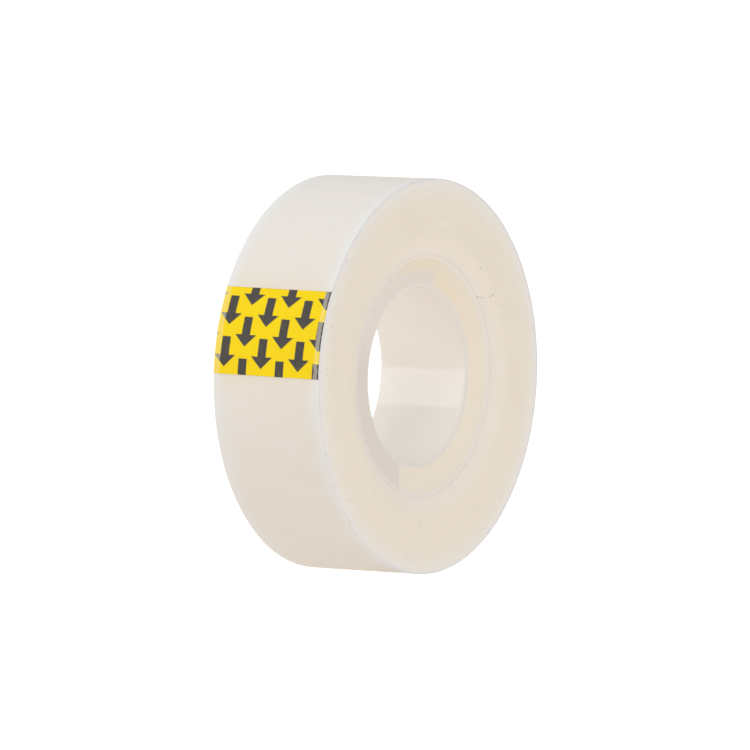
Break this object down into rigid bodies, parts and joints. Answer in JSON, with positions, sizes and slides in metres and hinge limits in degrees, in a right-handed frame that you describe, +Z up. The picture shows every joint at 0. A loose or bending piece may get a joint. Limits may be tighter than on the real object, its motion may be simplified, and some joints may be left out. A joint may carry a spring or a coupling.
{
  "type": "tape refill roll",
  "caption": "Refill roll of clear matte tape on a moulded core, with a printed pull tab on its free end, for a desk dispenser's hub.",
  "frame": {"origin": "centre of the bore, half way between the roll's two sides", "axes": "+Y along the bore's axis towards the back side, +Z up, with the free end of the tape on the -X side pointing down"},
  "size_m": [0.0565, 0.018, 0.0564],
  "materials": {
    "core_plastic": "moulded satin",
    "wound_tape": "edges of wound film",
    "matte_film": "matte translucent film",
    "free_end_film": "matte translucent film",
    "tab_yellow": "printed film"
  },
  "bodies": {
    "roll": {"core": "core_plastic", "wound_tape": "wound_tape", "outer_turn": "matte_film"},
    "free_end": {"tape_end": "free_end_film", "pull_tab": "tab_yellow"}
  },
  "joints": [
    {"name": "tab_peel", "type": "hinge", "parent": "roll", "child": "free_end", "pos_m": [-0.02489, 0, 0.01357], "axis": [0, 1, 0], "range_deg": [0, 150]}
  ]
}
